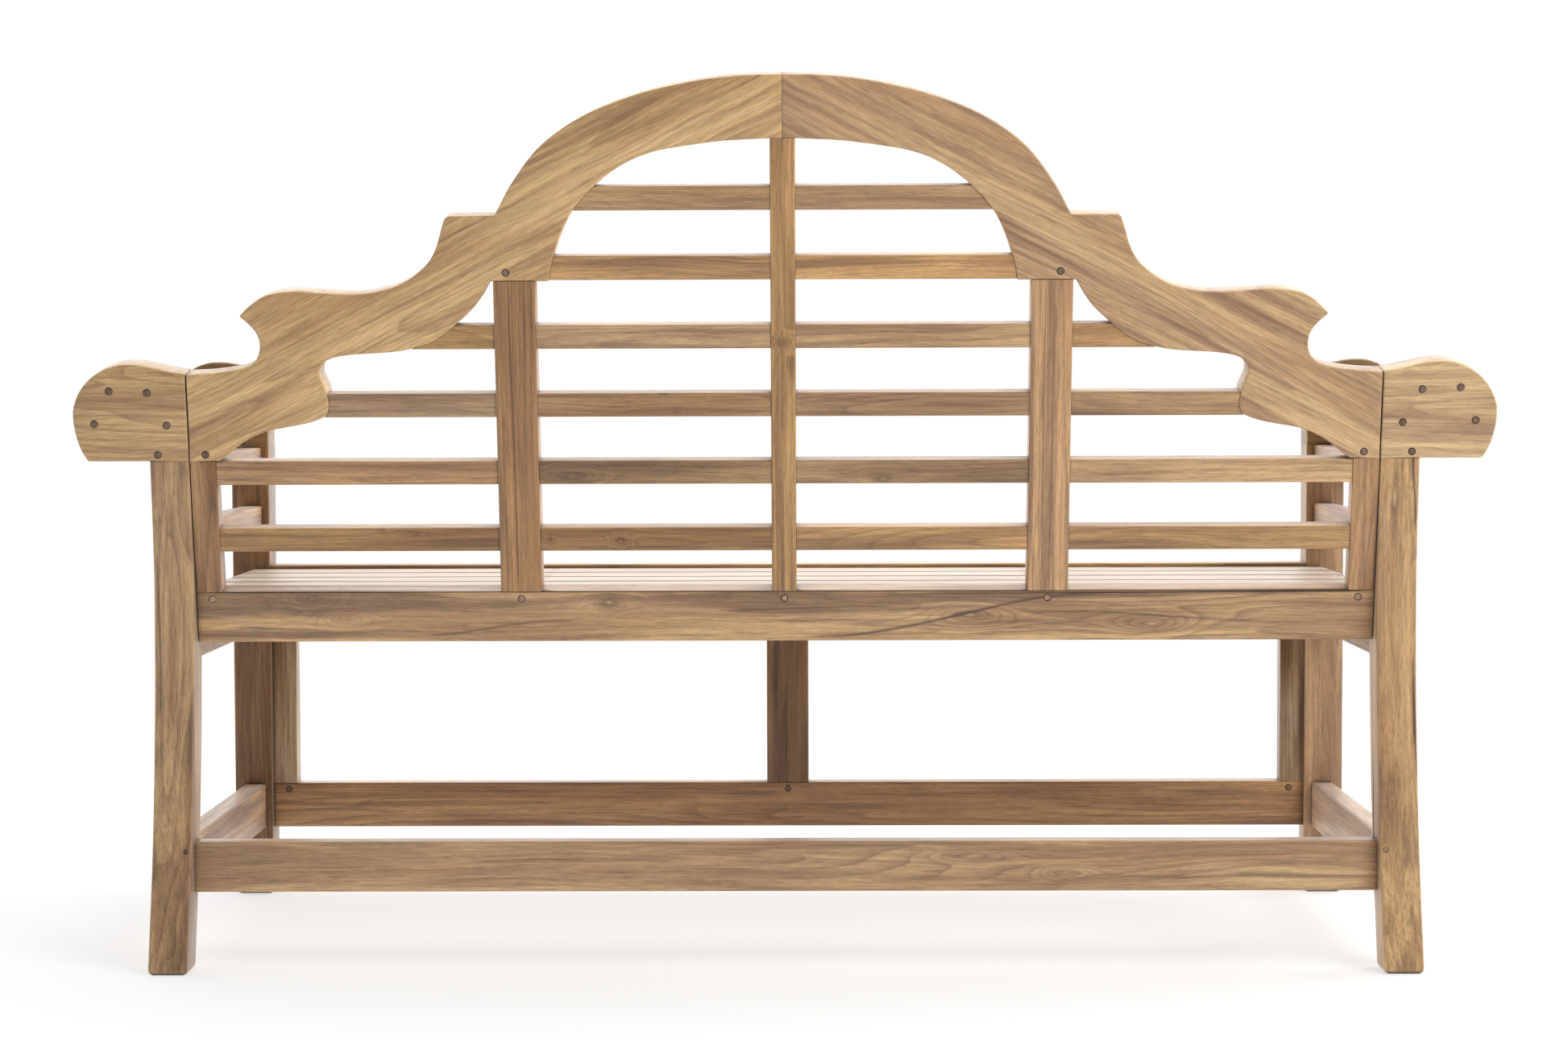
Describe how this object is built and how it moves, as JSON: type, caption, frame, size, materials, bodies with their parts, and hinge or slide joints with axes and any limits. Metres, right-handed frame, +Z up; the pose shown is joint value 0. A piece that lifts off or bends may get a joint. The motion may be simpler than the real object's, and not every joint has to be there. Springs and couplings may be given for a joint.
{
  "type": "garden bench",
  "caption": "Three-seat solid teak garden bench with an arched crest, scrolled shoulders, rolled arms and a slatted back and seat.",
  "frame": {"origin": "on the ground, under the middle of the bench's box", "axes": "+Z up, the sitter faces -Y, +X is the sitter's left, the back leans towards +Y"},
  "size_m": [1.6496, 0.6224, 1.0385],
  "materials": {
    "teak_honey": "satin",
    "teak_brown": "satin",
    "teak_tan": "satin",
    "teak_pale": "satin",
    "teak_peg": "satin",
    "stainless_steel": "brushed"
  },
  "bodies": {
    "root": {"crest_rail_left": "teak_honey", "crest_rail_right": "teak_honey", "back_stile_left": "teak_brown", "back_stile_right": "teak_brown", "back_post_left": "teak_brown", "back_post_right": "teak_brown", "back_muntin": "teak_tan", "back_bottom_rail": "teak_tan", "back_slats_row_1": "teak_tan", "back_slats_row_2": "teak_tan", "back_slat_3_outer_left": "teak_tan", "back_slat_3_inner_left": "teak_tan", "back_slat_3_inner_right": "teak_tan", "back_slat_3_outer_right": "teak_tan", "back_slat_4_outer_left": "teak_tan", "back_slat_4_inner_left": "teak_tan", "back_slat_4_inner_right": "teak_tan", "back_slat_4_outer_right": "teak_tan", "back_slat_5_outer_left": "teak_tan", "back_slat_5_inner_left": "teak_tan", "back_slat_5_inner_right": "teak_tan", "back_slat_5_outer_right": "teak_tan", "back_slat_6_outer_left": "teak_tan", "back_slat_6_inner_left": "teak_tan", "back_slat_6_inner_right": "teak_tan", "back_slat_6_outer_right": "teak_tan", "rear_leg_left": "teak_tan", "rear_leg_right": "teak_tan", "front_leg_left": "teak_brown", "front_leg_right": "teak_brown", "rear_arm_block_left": "teak_honey", "rear_arm_block_right": "teak_honey", "front_arm_block_left": "teak_honey", "front_arm_block_right": "teak_honey", "arm_staves_left": "teak_tan", "arm_staves_right": "teak_tan", "arm_rails_left": "teak_brown", "arm_rails_right": "teak_brown", "side_seat_rail_left": "teak_tan", "side_seat_rail_right": "teak_tan", "side_stretcher_left": "teak_brown", "side_stretcher_right": "teak_brown", "rear_stretcher": "teak_tan", "front_seat_rail": "teak_tan", "front_stretcher": "teak_brown", "front_post_left": "teak_brown", "front_post_center": "teak_brown", "front_post_right": "teak_brown", "seat_slat_1": "teak_pale", "seat_slat_2": "teak_pale", "seat_slat_3": "teak_pale", "seat_slat_4": "teak_pale", "seat_slat_5": "teak_pale", "seat_bearers": "teak_tan", "joint_pegs": "teak_peg", "dowels": "teak_peg", "frame_bolts": "stainless_steel", "barrel_nuts": "stainless_steel", "seat_screws": "stainless_steel", "seat_plugs": "teak_peg"}
  },
  "joints": []
}
